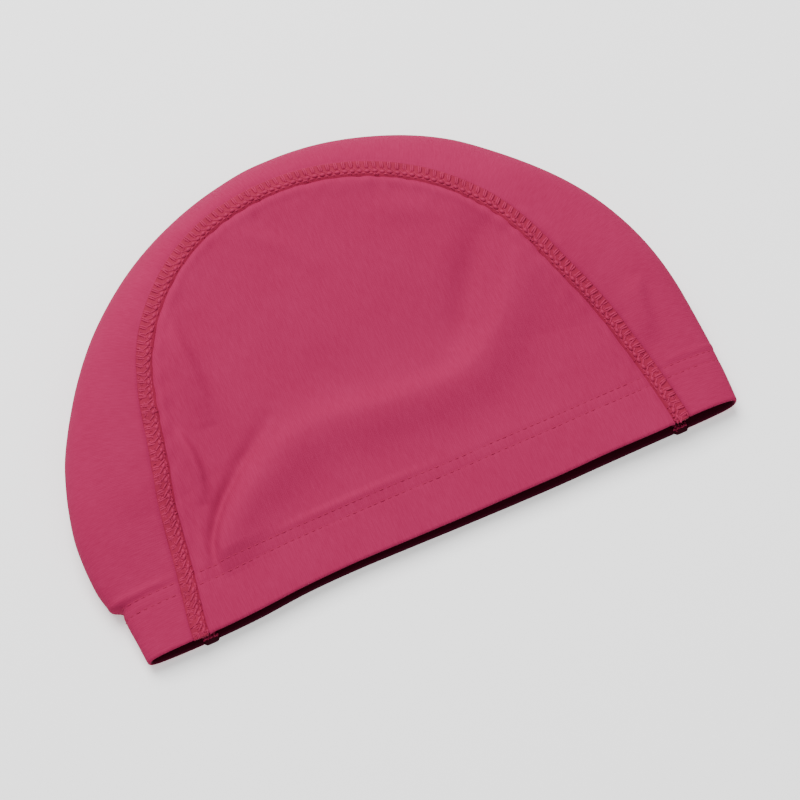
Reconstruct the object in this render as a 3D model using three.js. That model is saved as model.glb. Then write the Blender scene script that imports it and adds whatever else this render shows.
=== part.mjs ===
// Swim cap of stretch cloth, lying flat on one side as it does when it is put away.
// A centre band runs from the back hem over the crown to the front hem, and two D-shaped
// side panels are joined to it by raised flatlock seams. The hollow for the head is open
// along the hem.
// Lengths are in millimetres. X runs along the hem from the back of the cap to its front,
// Y from the hem to the crown, and Z up from the surface that the cap lies on.

import * as THREE from 'three';

// Overall form
const HEM_LENGTH = 240; // hem edge laid flat, from the back fold to the front fold
const BODY_LENGTH = 247; // widest run from back to front, above the hem
const BODY_SHIFT = 1.5; // how far the body's middle lies behind the hem's middle
const CAP_DEPTH = 160; // hem edge to crown
const SIDE_RUN = 45; // nearly straight run of the sides above the hem edge
const CROWN_HEIGHT = 42; // upper seam at the crown, above the surface
const SEAM_INSET = 38; // widest run from the outline in to a seam's centre line
const EQUATOR = 0.45; // where the band bulges out most, as a share of its height

// Cloth, hem and seams
const WALL = 1; // one layer of cloth
const HEM_WALL = 2; // cloth with its edge turned in under it
const HEM_HEIGHT = 20; // hem edge to the upper stitch row
const HEM_END = 0.8; // run over which the turned-in edge ends
const HEM_DIP = 1.3; // sag of the upper hem edge between the two folds
const SEAM_WIDTH = 6.4;
const SEAM_PROUD = 0.6; // rise of the seam threads over the cloth
const SEAM_BEVEL = 0.9; // run of the slope at each side of a seam
const SEAM_TAIL = 1.2; // seam ends past the hem edge
const SEAM_GAP = 0.3; // clear gap between a seam and the cloth beside it

// Form of the soft cloth
const PUFF = 3; // how far the back of the band puffs out above its stitched hem
const BOWL = 3; // how far the upper panel sinks between its seam and hem
const FOLD_HEIGHT = 3; // tallest fold
const FOLD_WIDTH = 11; // from the crest of the widest fold down its side
const FOLD_EDGE = 0.05; // share of the panel beside its seam over which folds fade

// Fineness of the faceted surfaces
const HEM_STEPS = 7;
const SIDE_STEPS = 6;
const ARC_STEPS = 44;
const SECTION_STEPS = 12;
const UPPER_COLUMNS = 36;
const UPPER_ROWS = 18;
const UNDER_COLUMNS = 24;
const UNDER_ROWS = 10;
const PANEL_HEM_ROWS = 4;
const CORNER = 0.25; // where a panel's side turns into its top, along the outline
const CURVE_STEPS = 24;
const STEEPEST = 1.5; // most that a slope thickens the cloth, measured straight down

// The seams, from the back hem over the crown to the front hem. along is the share of the
// outline, upper and under are each seam's inset as shares of SEAM_INSET, and rise is the
// upper seam's height as a share of CROWN_HEIGHT.
const SEAMS = [
  { along: 0, upper: 0.56, under: 0.63, rise: 0.24 },
  { along: 0.05, upper: 0.765, under: 0.785, rise: 0.345 },
  { along: 0.1, upper: 0.89, under: 0.89, rise: 0.505 },
  { along: 0.15, upper: 0.94, under: 0.92, rise: 0.62 },
  { along: 0.2, upper: 0.895, under: 0.865, rise: 0.72 },
  { along: 0.3, upper: 0.68, under: 0.64, rise: 0.88 },
  { along: 0.4, upper: 0.54, under: 0.48, rise: 0.97 },
  { along: 0.5, upper: 0.52, under: 0.45, rise: 1 },
  { along: 0.6, upper: 0.633, under: 0.56, rise: 0.97 },
  { along: 0.7, upper: 0.797, under: 0.747, rise: 0.88 },
  { along: 0.8, upper: 0.953, under: 0.923, rise: 0.72 },
  { along: 0.85, upper: 0.945, under: 0.935, rise: 0.62 },
  { along: 0.9, upper: 0.866, under: 0.866, rise: 0.505 },
  { along: 0.95, upper: 0.71, under: 0.71, rise: 0.365 },
  { along: 1, upper: 0.585, under: 0.585, rise: 0.28 },
];

// The back of the band, which puffs out over its stitched hem. climb is the distance from
// the hem edge along the outline as a share of HEM_HEIGHT, and out a share of PUFF.
const PUFFS = [
  { climb: 0, out: 0 },
  { climb: 0.6, out: -0.2 },
  { climb: 0.85, out: -0.35 },
  { climb: 0.98, out: -0.5 },
  { climb: 1.08, out: 0.3 },
  { climb: 1.2, out: 0.67 },
  { climb: 1.55, out: 1 },
  { climb: 2.35, out: 0.9 },
  { climb: 3, out: 0.55 },
  { climb: 4, out: 0.2 },
  { climb: 5, out: 0 },
];

// Folds of the upper panel, each along a curve through three points. x is a share of
// half of HEM_LENGTH, y a share of CAP_DEPTH up from the hem edge, and height and width
// are shares of FOLD_HEIGHT and FOLD_WIDTH. A height below zero is a valley.
const FOLDS = [
  { x1: -0.67, y1: 0.16, x2: -0.42, y2: 0.27, x3: -0.08, y3: 0.285, height: 1, width: 1 },
  { x1: -0.21, y1: 0.29, x2: 0.35, y2: 0.305, x3: 0.59, y3: 0.525, height: 1, width: 1 },
  { x1: -0.45, y1: 0.34, x2: -0.59, y2: 0.255, x3: -0.7, y3: 0.14, height: -0.6, width: 0.45 },
  { x1: 0.56, y1: 0.66, x2: 0.43, y2: 0.53, x3: 0.34, y3: 0.43, height: -0.9, width: 0.64 },
  { x1: -0.5, y1: 0.72, x2: -0.54, y2: 0.52, x3: -0.5, y3: 0.41, height: 0.4, width: 0.55 },
  { x1: -0.2, y1: 0.85, x2: 0.04, y2: 0.8, x3: 0.2, y3: 0.7, height: -0.5, width: 0.73 },
  { x1: -0.3, y1: 0.14, x2: 0, y2: 0.15, x3: 0.25, y3: 0.14, height: 0.3, width: 0.36 },
];

const HEM_Y = -CAP_DEPTH / 2;
const BODY_HALF = BODY_LENGTH / 2;
const ARC_RISE = CAP_DEPTH - SIDE_RUN;
const ARC_LENGTH = Math.PI * Math.hypot(BODY_HALF, ARC_RISE) / Math.SQRT2;
const OUTLINE_LENGTH = 2 * SIDE_RUN + ARC_LENGTH;
const SIDE_SHARE = SIDE_RUN / OUTLINE_LENGTH;
const SEAM_REACH = SEAM_WIDTH / 2 + SEAM_GAP;

function mix(a, b, share) {
  return a + (b - a) * share;
}

// Zero at both ends of a run and one in its middle.
function swell(share) {
  return 4 * share * (1 - share);
}

// Smooth curve through a table's rows: a cubic between each two rows, whose slopes are
// those of the rows on either side.
function readTable(rows, key, column, at) {
  const last = rows.length - 1;
  const slope = (k) => {
    const low = rows[Math.max(k - 1, 0)];
    const high = rows[Math.min(k + 1, last)];
    return (high[column] - low[column]) / (high[key] - low[key]);
  };
  let k = 0;
  while (k < last - 1 && at > rows[k + 1][key]) k += 1;
  const run = rows[k + 1][key] - rows[k][key];
  const s = Math.min(Math.max((at - rows[k][key]) / run, 0), 1);
  const ease = s * s * (3 - 2 * s);
  return mix(rows[k][column], rows[k + 1][column], ease)
    + run * s * (1 - s) * ((1 - s) * slope(k) - s * slope(k + 1));
}

// A station is a place on the outline: its share of the way from back to front, its plan
// position, the way inwards, the distance from the hem edge up the side, and how far the
// cloth puffs out there.
function station(along) {
  const puff = PUFF * readTable(PUFFS, 'climb', 'out', along * OUTLINE_LENGTH / HEM_HEIGHT);
  const back = along < SIDE_SHARE;
  if (back || along > 1 - SIDE_SHARE) {
    const up = (back ? along : 1 - along) / SIDE_SHARE;
    const sign = back ? -1 : 1;
    const hem = sign * HEM_LENGTH / 2;
    const body = sign * BODY_HALF - BODY_SHIFT;
    const x = mix(hem, body, 1 - (1 - up) ** 2);
    return { along, x, y: HEM_Y + SIDE_RUN * up, inX: -sign, inY: 0, climb: SIDE_RUN * up, puff };
  }
  const turn = Math.PI * (1 - (along - SIDE_SHARE) / (1 - 2 * SIDE_SHARE));
  const x = BODY_HALF * Math.cos(turn) - BODY_SHIFT;
  const y = HEM_Y + SIDE_RUN + ARC_RISE * Math.sin(turn);
  const inX = -Math.cos(turn) * ARC_RISE;
  const inY = -Math.sin(turn) * BODY_HALF;
  const size = Math.hypot(inX, inY);
  return { along, x, y, inX: inX / size, inY: inY / size, climb: SIDE_RUN, puff };
}

// Point at a station, an inset in from its outline and a height above the surface.
function inwards(place, inset, height) {
  return new THREE.Vector3(place.x + place.inX * inset, place.y + place.inY * inset, height);
}

// Height of the upper seam at a share of the way along.
function riseAt(along) {
  return CROWN_HEIGHT * readTable(SEAMS, 'along', 'rise', along);
}

// Run from the outline in to a seam's centre line.
function insetAt(along, side) {
  return SEAM_INSET * readTable(SEAMS, 'along', side, along);
}

// Point on a seam, set aside from its centre line, where a positive run is towards the
// side panel.
function seamPoint(place, side, aside) {
  const height = side === 'upper' ? riseAt(place.along) : 0;
  return inwards(place, insetAt(place.along, side) + aside, height);
}

// Cloth thickness at a distance up from the hem edge.
function wallAt(climb) {
  const share = Math.min(Math.max((climb - HEM_HEIGHT) / HEM_END, 0), 1);
  return mix(HEM_WALL, WALL, share);
}

// Distances up from the hem edge at which the sides are cut into steps, which are
// closer together just above the hem, where the back puffs out.
function climbSteps() {
  const steps = [];
  for (let k = 0; k <= HEM_STEPS; k += 1) steps.push(HEM_HEIGHT * k / HEM_STEPS);
  for (let k = 0; k <= SIDE_STEPS; k += 1) {
    steps.push(mix(HEM_HEIGHT + HEM_END, SIDE_RUN, (k / SIDE_STEPS) ** 1.5));
  }
  return steps;
}

// Stations from the back hem over the crown to the front hem.
function outlineStations() {
  const side = climbSteps().map((climb) => SIDE_SHARE * climb / SIDE_RUN);
  const arc = [];
  for (let k = 1; k < ARC_STEPS; k += 1) arc.push(mix(SIDE_SHARE, 1 - SIDE_SHARE, k / ARC_STEPS));
  const front = side.map((share) => 1 - share).reverse();
  return [...side, ...arc, ...front].map(station);
}

function closedGeometry(points, faces) {
  const geometry = new THREE.BufferGeometry();
  const positions = points.flatMap((point) => point.toArray());
  geometry.setAttribute('position', new THREE.Float32BufferAttribute(positions, 3));
  geometry.setIndex(faces);
  geometry.computeVertexNormals();
  return geometry;
}

// Closed shell between an outer and an inner grid of points, with its four edges walled.
// splitUp tells which of a cell's two diagonals to cut it along.
function shell(outer, inner, splitUp) {
  const rows = outer.length;
  const columns = outer[0].length;
  const at = (layer, i, j) => (layer * rows + i) * columns + j;
  const faces = [];
  const quad = (a, b, c, d) => faces.push(a, b, c, a, c, d);
  for (let i = 0; i < rows - 1; i += 1) {
    for (let j = 0; j < columns - 1; j += 1) {
      for (const layer of [0, 1]) {
        const cell = [at(layer, i, j), at(layer, i, j + 1), at(layer, i + 1, j + 1), at(layer, i + 1, j)];
        if (splitUp(i, j)) cell.push(cell.shift());
        quad(...(layer === 0 ? cell : cell.reverse()));
      }
    }
  }
  const topRow = rows - 1;
  for (let j = 0; j < columns - 1; j += 1) {
    quad(at(0, 0, j + 1), at(0, 0, j), at(1, 0, j), at(1, 0, j + 1));
    quad(at(0, topRow, j), at(0, topRow, j + 1), at(1, topRow, j + 1), at(1, topRow, j));
  }
  const far = columns - 1;
  for (let i = 0; i < rows - 1; i += 1) {
    quad(at(0, i, 0), at(0, i + 1, 0), at(1, i + 1, 0), at(1, i, 0));
    quad(at(0, i + 1, far), at(0, i, far), at(1, i, far), at(1, i + 1, far));
  }
  return closedGeometry([...outer.flat(), ...inner.flat()], faces);
}

// The band's outer surface. The section at a station runs from the under seam (tilt of
// minus a quarter turn) out to the equator and in to the upper seam (plus a quarter turn).
// With q = 1 - cos(tilt), half of the height h and a reach d from outline to seam, its
// inset is h q + (d - h) q squared, and it rises by h sin(tilt) from the equator.
function bandPoint(place, tilt) {
  const rise = riseAt(place.along);
  const equator = EQUATOR * rise;
  const half = tilt < 0 ? equator : rise - equator;
  const reach = insetAt(place.along, tilt < 0 ? 'under' : 'upper') - SEAM_REACH + place.puff;
  const q = 1 - Math.cos(tilt);
  const inset = half * q + (reach - half) * q * q - place.puff;
  return inwards(place, inset, equator + half * Math.sin(tilt));
}

function centreBand() {
  const places = outlineStations();
  const tilts = [];
  const quarter = Math.PI / 2;
  for (let k = 0; k <= SECTION_STEPS; k += 1) tilts.push(mix(-quarter, quarter, k / SECTION_STEPS));
  const outer = places.map((place) => tilts.map((tilt) => bandPoint(place, tilt)));
  const nudge = 0.01;
  const inner = outer.map((row, i) => row.map((point, j) => {
    const before = outer[Math.max(i - 1, 0)][j];
    const after = outer[Math.min(i + 1, places.length - 1)][j];
    const along = after.clone().sub(before);
    const across = bandPoint(places[i], tilts[j] + nudge).sub(bandPoint(places[i], tilts[j] - nudge));
    const inside = along.cross(across).normalize();
    return point.clone().addScaledVector(inside, wallAt(places[i].climb));
  }));
  return shell(outer, inner, () => false);
}

// The folds' centre lines as points, each with the fold's height there, which fades to
// nothing at both ends, and its width.
function foldPoints() {
  return FOLDS.flatMap((fold) => {
    const place = (x, y) => new THREE.Vector2(x * HEM_LENGTH / 2, y * CAP_DEPTH + HEM_Y);
    const start = place(fold.x1, fold.y1);
    const end = place(fold.x3, fold.y3);
    const pull = place(fold.x2, fold.y2).multiplyScalar(2).addScaledVector(start, -0.5);
    const curve = new THREE.QuadraticBezierCurve(start, pull.addScaledVector(end, -0.5), end);
    return curve.getPoints(CURVE_STEPS).map((at, k) => ({
      at,
      height: FOLD_HEIGHT * fold.height * Math.sin(Math.PI * k / CURVE_STEPS),
      width: FOLD_WIDTH * fold.width,
    }));
  });
}

// Height that the folds add at a plan position: the tallest ridge and the deepest valley
// there, each of a bell-shaped section.
function foldHeight(folds, x, y) {
  const heights = folds.map(({ at, height, width }) => {
    const away = Math.hypot(x - at.x, y - at.y) / width;
    return height * Math.exp(-away * away);
  });
  return Math.max(0, ...heights) + Math.min(0, ...heights);
}

// Folds keep clear of the seam round the panel, where the cloth is held.
function foldRoom(u, v) {
  const room = (share) => Math.min(1, share / FOLD_EDGE);
  return room(u) * room(1 - u) * room(1 - v);
}

// A side panel's outer face. The rows of the hem run straight from seam to seam, and the
// rest is a Coons patch, which blends the hem's upper line, the two flanks and the top.
function panelGrid(side, columns, rows) {
  const upper = side === 'upper';
  const folds = foldPoints();
  const edge = (along) => seamPoint(station(along), side, SEAM_REACH);
  const hemRow = (climb, share) => {
    const along = SIDE_SHARE * climb / SIDE_RUN;
    const point = edge(along).lerp(edge(1 - along), share);
    const dip = upper ? HEM_DIP * (1 - climb / SIDE_RUN) * swell(share) : 0;
    return point.setZ(point.z - dip);
  };
  const hemTop = HEM_HEIGHT + HEM_END;
  const start = SIDE_SHARE * hemTop / SIDE_RUN;
  const corners = [hemRow(hemTop, 0), hemRow(hemTop, 1), edge(CORNER), edge(1 - CORNER)];
  const patch = (u, v) => {
    const flank = mix(start, CORNER, v);
    const point = hemRow(hemTop, u).lerp(edge(mix(CORNER, 1 - CORNER, u)), v);
    point.addScaledVector(edge(flank), 1 - u).addScaledVector(edge(1 - flank), u);
    const weights = [(1 - u) * (1 - v), u * (1 - v), (1 - u) * v, u * v];
    corners.forEach((corner, k) => point.addScaledVector(corner, -weights[k]));
    if (upper) {
      point.z += foldRoom(u, v) * foldHeight(folds, point.x, point.y) - BOWL * swell(u) * swell(v);
    }
    return point;
  };
  const shares = Array.from({ length: columns + 1 }, (_, j) => j / columns);
  const grid = [];
  for (let k = 0; k <= PANEL_HEM_ROWS; k += 1) {
    grid.push(shares.map((share) => hemRow(HEM_HEIGHT * k / PANEL_HEM_ROWS, share)));
  }
  for (let k = 0; k <= rows; k += 1) grid.push(shares.map((share) => patch(share, k / rows)));
  return grid;
}

// The cloth's thickness is laid off straight down from the upper panel's outer face, and
// straight up from the under panel's, so that the panel's edge stays clear of its seam.
function sidePanel(side, columns, rows) {
  const outer = panelGrid(side, columns, rows);
  const sign = side === 'upper' ? -1 : 1;
  const other = outer.map((row, i) => row.map((point, j) => {
    const across = row[Math.min(j + 1, columns)].clone().sub(row[Math.max(j - 1, 0)]);
    const up = outer[Math.min(i + 1, outer.length - 1)][j].clone().sub(outer[Math.max(i - 1, 0)][j]);
    const normal = across.cross(up).normalize();
    const steepness = normal.length() > 0 ? Math.min(1 / normal.z, STEEPEST) : 1;
    const wall = i <= PANEL_HEM_ROWS ? HEM_WALL : WALL;
    return point.clone().setZ(point.z + sign * wall * steepness);
  }));
  const splitUp = (i, j) => j < columns / 2;
  return side === 'upper' ? shell(outer, other, splitUp) : shell(other, outer, splitUp);
}

// A seam is a low bar of a bevelled section. The upper one stands proud of the cloth
// outside, and the under one is pressed level by the surface and stands proud inside.
function seam(side) {
  const half = SEAM_WIDTH / 2;
  const ring = (place) => {
    const wall = wallAt(place.climb);
    const base = side === 'upper' ? -wall : 0;
    const crest = base + wall + SEAM_PROUD;
    const section = [
      [-half, base],
      [half, base],
      [half, base + wall],
      [half - SEAM_BEVEL, crest],
      [SEAM_BEVEL - half, crest],
      [-half, base + wall],
    ];
    return section.map(([aside, up]) => {
      const point = seamPoint(place, side, aside);
      return point.setZ(point.z + up);
    });
  };
  const rings = outlineStations().map(ring);
  const tail = (end) => end.map((point) => point.clone().setY(point.y - SEAM_TAIL));
  rings.unshift(tail(rings[0]));
  rings.push(tail(rings[rings.length - 1]));
  const count = rings[0].length;
  const faces = [];
  for (let i = 0; i < rings.length - 1; i += 1) {
    for (let j = 0; j < count; j += 1) {
      const a = i * count + j;
      const b = i * count + (j + 1) % count;
      faces.push(a, a + count, b + count, a, b + count, b);
    }
  }
  const last = (rings.length - 1) * count;
  for (let j = 1; j < count - 1; j += 1) faces.push(0, j, j + 1, last, last + j + 1, last + j);
  return closedGeometry(rings.flat(), faces);
}

const cloth = () => new THREE.MeshStandardMaterial({ color: 0xba4362, roughness: 0.85, metalness: 0 });
const thread = () => new THREE.MeshStandardMaterial({ color: 0xa23449, roughness: 0.75, metalness: 0 });

function piece(name, geometry, material) {
  const mesh = new THREE.Mesh(geometry, material);
  mesh.name = name;
  return mesh;
}

const cap = new THREE.Group();
cap.add(piece('centre_band', centreBand(), cloth()));
cap.add(piece('side_panel_upper', sidePanel('upper', UPPER_COLUMNS, UPPER_ROWS), cloth()));
cap.add(piece('side_panel_under', sidePanel('under', UNDER_COLUMNS, UNDER_ROWS), cloth()));
cap.add(piece('seam_upper', seam('upper'), thread()));
cap.add(piece('seam_under', seam('under'), thread()));

export default cap;
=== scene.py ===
"""Swim cap of stretch cloth, lying on its side: the looks of its cloth, seams and stitches.

Shapes are worked out in millimetres, in the part's own frame, and become metres when a
mesh is made. X runs along the hem from back to front, Y from the hem to the crown, and Z up.
"""

import bpy
import numpy as np
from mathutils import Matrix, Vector


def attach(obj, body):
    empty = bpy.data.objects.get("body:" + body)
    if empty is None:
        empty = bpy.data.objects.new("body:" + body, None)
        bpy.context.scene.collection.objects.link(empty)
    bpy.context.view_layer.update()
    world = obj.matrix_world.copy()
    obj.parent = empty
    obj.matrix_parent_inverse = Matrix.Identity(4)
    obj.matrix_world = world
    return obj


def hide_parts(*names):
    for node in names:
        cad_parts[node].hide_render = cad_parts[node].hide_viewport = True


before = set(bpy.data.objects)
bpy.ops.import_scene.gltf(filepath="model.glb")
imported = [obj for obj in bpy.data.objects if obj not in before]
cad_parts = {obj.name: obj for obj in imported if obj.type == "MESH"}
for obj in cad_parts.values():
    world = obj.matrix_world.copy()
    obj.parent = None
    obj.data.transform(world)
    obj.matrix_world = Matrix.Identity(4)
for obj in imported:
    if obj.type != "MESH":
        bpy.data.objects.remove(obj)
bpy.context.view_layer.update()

MM = 0.001

# Overall form, as the part's own solids have it
HEM_LENGTH = 240.0
BODY_LENGTH = 247.0
BODY_SHIFT = 1.5
CAP_DEPTH = 160.0
SIDE_RUN = 45.0
CROWN_HEIGHT = 42.0
SEAM_INSET = 38.0
EQUATOR = 0.45
WALL = 1.0
HEM_WALL = 2.0
HEM_HEIGHT = 20.0
HEM_END = 0.8
HEM_DIP = 1.3
SEAM_WIDTH = 6.4
SEAM_TAIL = 1.2
SEAM_OVERLAP = 0.15
PUFF = 3.0
BOWL = 3.0

# Share of the outline at which a side panel's patch has its upper corners
CORNER = 0.25

# Height up to which cloth lies on the surface and stays plain
LYING_HEIGHT = 1.5

HEM_Y = -CAP_DEPTH / 2
BODY_HALF = BODY_LENGTH / 2
ARC_RISE = CAP_DEPTH - SIDE_RUN
ARC_LENGTH = np.pi * np.hypot(BODY_HALF, ARC_RISE) / np.sqrt(2)
OUTLINE_LENGTH = 2 * SIDE_RUN + ARC_LENGTH
SIDE_SHARE = SIDE_RUN / OUTLINE_LENGTH
SEAM_REACH = SEAM_WIDTH / 2 - SEAM_OVERLAP

# The seams: share of the way along the outline, inset of the upper and of the under seam
# as shares of SEAM_INSET, and height of the upper seam as a share of CROWN_HEIGHT.
SEAMS = np.array([
    # along, upper, under, rise
    (0.00, 0.548, 0.630, 0.240),
    (0.05, 0.750, 0.785, 0.345),
    (0.10, 0.872, 0.890, 0.505),
    (0.15, 0.922, 0.920, 0.620),
    (0.20, 0.877, 0.865, 0.720),
    (0.30, 0.645, 0.640, 0.880),
    (0.40, 0.508, 0.480, 0.970),
    (0.50, 0.535, 0.450, 1.000),
    (0.60, 0.652, 0.560, 0.970),
    (0.70, 0.815, 0.747, 0.880),
    (0.80, 0.970, 0.923, 0.720),
    (0.85, 0.950, 0.935, 0.620),
    (0.90, 0.866, 0.866, 0.505),
    (0.95, 0.722, 0.710, 0.365),
    (1.00, 0.603, 0.585, 0.280),
])
UPPER, UNDER, RISE = 1, 2, 3

# How the back of the band puffs out over its stitched hem.
PUFFS = np.array([
    # climb as a share of HEM_HEIGHT, out as a share of PUFF
    (0.00, 0.00),
    (0.60, -0.20),
    (0.85, -0.35),
    (0.98, -0.50),
    (1.08, 0.30),
    (1.20, 0.67),
    (1.55, 1.00),
    (2.35, 0.90),
    (3.00, 0.55),
    (4.00, 0.20),
    (5.00, 0.00),
])

# How far the band's outline departs from its plain curve.
TRIM = np.array([
    # along, out
    (0.000, 0.60),
    (0.020, 0.00),
    (0.060, 0.35),
    (0.100, 0.30),
    (0.150, 0.00),
    (0.175, -0.05),
    (0.200, -0.70),
    (0.250, -1.60),
    (0.300, -1.50),
    (0.350, -0.90),
    (0.400, -0.60),
    (0.450, 0.35),
    (0.475, 0.90),
    (0.500, 0.70),
    (0.600, 0.40),
    (0.650, -0.45),
    (0.690, -1.50),
    (0.750, -1.20),
    (0.800, -0.55),
    (0.850, 0.25),
    (0.900, 0.40),
    (0.930, 0.75),
    (0.970, 1.50),
    (1.000, 1.50),
])

# How the hem lies in a slight wave, towards the crown where positive.
HEM_WAVES = np.array([
    # x, shift of the upper layer, shift of the under one
    (-120, -1.1, -1.3),
    (-98, -1.1, -1.4),
    (-78, -0.4, -0.9),
    (-57, 1.1, 0.8),
    (-37, 1.7, 1.2),
    (-16, 1.3, 0.8),
    (4, 1.0, 0.3),
    (25, 0.8, -0.1),
    (45, 0.6, -0.3),
    (65, 0.8, -0.1),
    (86, 0.4, 0.0),
    (107, 0.5, 0.0),
    (120, 0.3, 0.0),
])
WAVE_REACH = 42.0
WAVE_BLEND = 6.0

# Folds of the upper panel. Each runs along a smooth curve through its points, in x and in
# distance up from the hem edge. right and left are the widths of its two sides, looking
# along the curve.
PANEL_FOLDS = [
    # points, height, right, left
    # Crest of the large fold: its back leg, a lift on that leg, and its run to the front
    (
        ((-91, 5), (-84, 15), (-75, 25), (-65, 35), (-53, 43), (-40, 49), (-25, 51), (-8, 49), (14, 47)),
        3.4, 12.0, 8.5,
    ),
    (((-86, 16), (-80, 23), (-71, 31), (-61, 38), (-48, 45)), 0.9, 6.5, 5.5),
    (
        ((-32, 51), (-11, 48.5), (10, 46.8), (29, 47.5), (45, 55), (58, 67), (70, 82), (79, 97)),
        3.5, 12.0, 7.0,
    ),
    # Creases beside its back leg
    (((-42, 64), (-54, 54.6), (-60, 50.4), (-66.4, 45.5), (-72.3, 40.3), (-77.5, 34)), -1.5, 3.2, 2.6),
    (
        ((-64, 47), (-72.3, 40.3), (-77.5, 34.4), (-81.6, 28.4), (-84, 20.6), (-84.8, 13), (-85, 7)),
        -2.3, 2.4, 2.0,
    ),
    # Hollow and valley on its crown side
    (((-40, 73), (-12, 68), (18, 67), (36, 74)), -0.9, 10.0, 14.0),
    (((64, 104), (54, 90.4), (45.3, 78.7), (36.8, 67), (30, 57)), -2.5, 8.0, 6.0),
    # Arcs beside the back seam
    (((-66, 118), (-66, 103), (-65, 92), (-65, 80), (-66, 66)), 2.7, 7.0, 4.0),
    (((-81, 72), (-78, 65), (-77, 57), (-77.6, 49), (-80, 41)), 2.7, 4.0, 2.4),
    (((-89, 33), (-87, 29.5), (-86.6, 25), (-88, 19)), 1.1, 1.3, 1.5),
    # Slight rises near the crown
    (((3, 132.5), (14, 130), (27, 126.6)), 0.5, 2.4, 1.6),
    (((26, 121), (35, 112), (47, 109)), 0.9, 6.0, 6.0),
    (((-32, 131), (-14, 118), (-3, 101)), 0.5, 4.0, 4.0),
    # Ridge just above the stitch rows
    (((-62, 21.6), (-46, 22.0), (-30, 22.0), (-14, 22.0), (6, 21.8)), 0.7, 3.0, 1.0),
]

# Folds of the band, given in the same way.
BAND_FOLDS = [
    (((106, 56), (103.5, 50), (102, 41), (101, 30)), 2.0, 4.5, 2.0),
    (((-97, 60), (-100, 45), (-101, 30)), 0.35, 4.0, 4.0),
]
FOLD_STEPS = 5
FOLD_SWELL = 0.8

# Soft unevenness of the cloth: height, size and seed of each ripple
RIPPLE_WAVES = 6
RIPPLE_SIZES = (0.7, 1.6)
PANEL_SLACK = (0.22, 34.0, 3)
PANEL_GRAIN = (0.03, 12.0, 5)
PANEL_PUCKER = (0.16, 7.0, 8)
BAND_SLACK = (0.3, 40.0, 11)
BAND_PUCKER = (0.12, 9.0, 12)

# How far from a seam the folds are held down and its puckers reach, and the climb from
# which the folds rise over the hem, with the run over which they do
PANEL_HOLD = 6.0
PANEL_PUCKER_REACH = 7.0
PANEL_START, PANEL_START_RUN = 14.0, 9.0
BAND_HOLD = 5.0
BAND_PUCKER_REACH = 9.0
BAND_PUCKER_STRETCH = 0.4
BAND_START, BAND_START_RUN = 18.0, 8.0
BAND_LYING_RUN = 2.0

# Height and width of the relief beside seams and stitch rows: a tuck in the panel with a
# lip beyond it, a tuck in the band, a furrow at each stitch row and a roll above each hem
TUCK_DEPTH, TUCK_WIDTH = 0.65, 0.85
LIP_HEIGHT, LIP_WIDTH, LIP_PLACE = 0.2, 1.6, 2.6
BAND_TUCK_DEPTH, BAND_TUCK_WIDTH = 0.25, 0.9
GROOVE_DEPTH, GROOVE_WIDTH = 0.12, 0.6
BACK_ROLL, FRONT_ROLL, ROLL_WIDTH, ROLL_CLIMB = 0.45, 0.22, 1.1, 22.3

# The two rows of stitches of the hem, at their climbs. Each stitch sinks into the cloth at
# its ends and rises from there to its middle.
STITCH_ROWS = (16.0, 20.0)
STITCH_PITCH = 2.8
STITCH_LENGTH = 2.1
STITCH_RADIUS = 0.17
STITCH_SINK = 0.27
STITCH_RISE = 0.33
STITCH_SKIP = 0.4
STITCH_SEED = 20

# Flatlock stitching. Places across a seam are from its middle, positive towards the panel.
# A root is how deep a strand's ends lie below the stitching's own height, a rise how far
# its middle is above its ends, and a swell how much thicker the middle is than the ends.
LADDER_PITCH = 2.9
BAR_SHIFT = 0.36
BAR_START, BAR_REACH = -3.2, 3.35
BAR_ROOT, BAR_RISE, BAR_LEAST_RISE = 0.3, 0.3, 0.25
BAR_RADIUS, BAR_SWELL = 0.3, 0.14
BAR_LEAN, BAR_LEAN_SPREAD, BAR_LEAN_WORN = 0.15, 0.22, 0.15
BEAD_ASIDE, BEAD_LENGTH, BEAD_SHIFT = 1.3, 2.05, 0.1
BEAD_ROOT, BEAD_RISE = 0.25, 0.35
BEAD_RADIUS, BEAD_SWELL = 0.22, 0.5
LOW_BEAD_ASIDE, LOW_BEAD_LENGTH = 2.15, 1.9
LOW_BEAD_ROOT, LOW_BEAD_RISE = 0.35, 0.22
LOW_BEAD_RADIUS, LOW_BEAD_SWELL = 0.2, 0.16
SLANT_START, SLANT_REACH, SLANT_GAP = -0.5, 2.0, 0.8
SLANT_ROOT, SLANT_RISE = 0.15, 0.2
SLANT_RADIUS, SLANT_WORN = 0.24, 0.2

# Wear of the stitching: how far it reaches from each hem, how loose and rough the stitching
# is where even and how much more where worn, and how much flatter and lower it lies there
BACK_RUN, FRONT_RUN = 120.0, 80.0
FRONT_WEAR = 0.7
EVEN_LOOSE, WORN_LOOSE = 0.5, 2.0
EVEN_ROUGH, WORN_ROUGH = 0.06, 0.12
BACK_FLAT, FRONT_FLAT = 0.7, 0.3
BACK_SINK, FRONT_SINK = 0.34, 0.2
STRAND_STRAY = 0.1
BEAD_STRAY = 0.08
SPECK_LENGTHS = (0.9, 1.8)
SPECK_REACH = (-2.6, 2.4)
LADDER_SEED = 60

# Specks of loose yarn: how many at most for each pitch, radius, lowest and highest place
SPECKS = ((11, 0.14, 0.0, 0.24), (9, 0.28, -0.18, 0.06))

# Strands that stick out of a seam's ends
END_STRANDS = 26
END_SPREAD = 2.9
END_ROOT = 0.6
END_RADIUS = 0.42
FRAY_SEED = 70

# Height of the stitching over the cloth and length of its frayed ends, for each seam
UPPER_LIFT, UPPER_FRAY = 0.0, 2.0
UNDER_LIFT, UNDER_FRAY = -1.08, 0.8

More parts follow.
